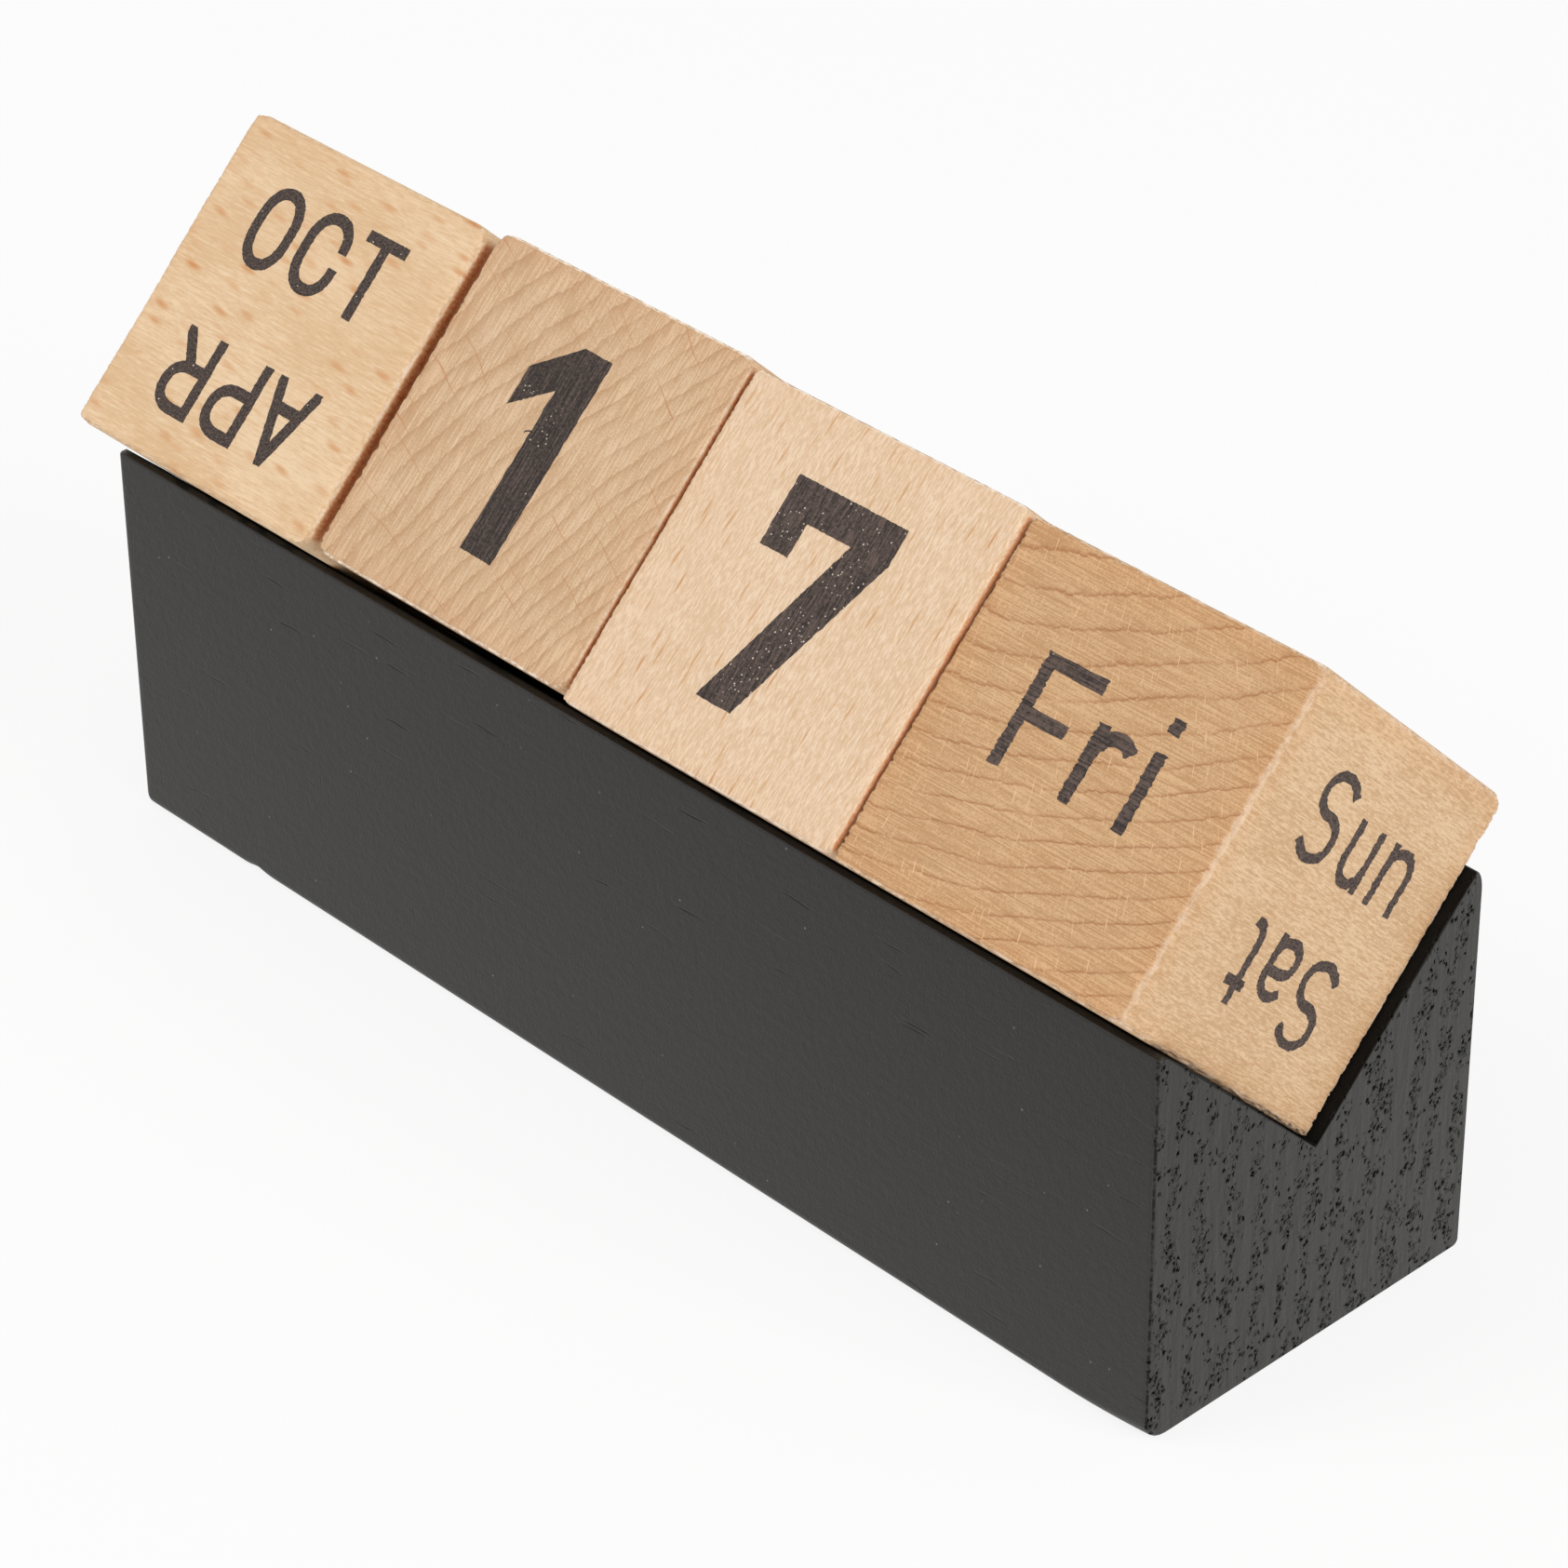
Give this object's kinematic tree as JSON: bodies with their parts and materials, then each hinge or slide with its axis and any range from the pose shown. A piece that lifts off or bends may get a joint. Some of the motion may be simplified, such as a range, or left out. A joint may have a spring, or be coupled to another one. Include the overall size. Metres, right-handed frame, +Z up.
{
  "type": "perpetual block calendar",
  "caption": "Long painted wooden block with a V groove along its top that holds a row of loose wooden cubes, whose faces show month, date and weekday.",
  "frame": {"origin": "centre of the block's underside", "axes": "+X along the row towards the weekday cube, +Z up, the date faces look towards -Y and up"},
  "size_m": [0.1632, 0.0567, 0.0822],
  "materials": {
    "painted_wood": "satin black paint over open end grain",
    "month_beech": "bare, finely sanded",
    "tens_beech": "bare, finely sanded",
    "units_beech": "bare, finely sanded",
    "weekday_beech": "bare, finely sanded",
    "ink": "matt dark printed ink, in the visual model only"
  },
  "bodies": {
    "block": {"v_groove_block": "painted_wood"},
    "month": {"month_cube": "month_beech"},
    "tens": {"tens_cube": "tens_beech"},
    "units": {"units_cube": "units_beech"},
    "weekday": {"weekday_cube": "weekday_beech"}
  },
  "joints": [
    {"name": "month_lift", "type": "slide", "parent": "block", "child": "month", "axis": [0, 0, 1], "range_m": [0, 0.06]},
    {"name": "tens_lift", "type": "slide", "parent": "block", "child": "tens", "axis": [0, 0, 1], "range_m": [0, 0.06]},
    {"name": "units_lift", "type": "slide", "parent": "block", "child": "units", "axis": [0, 0, 1], "range_m": [0, 0.06]},
    {"name": "weekday_lift", "type": "slide", "parent": "block", "child": "weekday", "axis": [0, 0, 1], "range_m": [0, 0.06]}
  ]
}
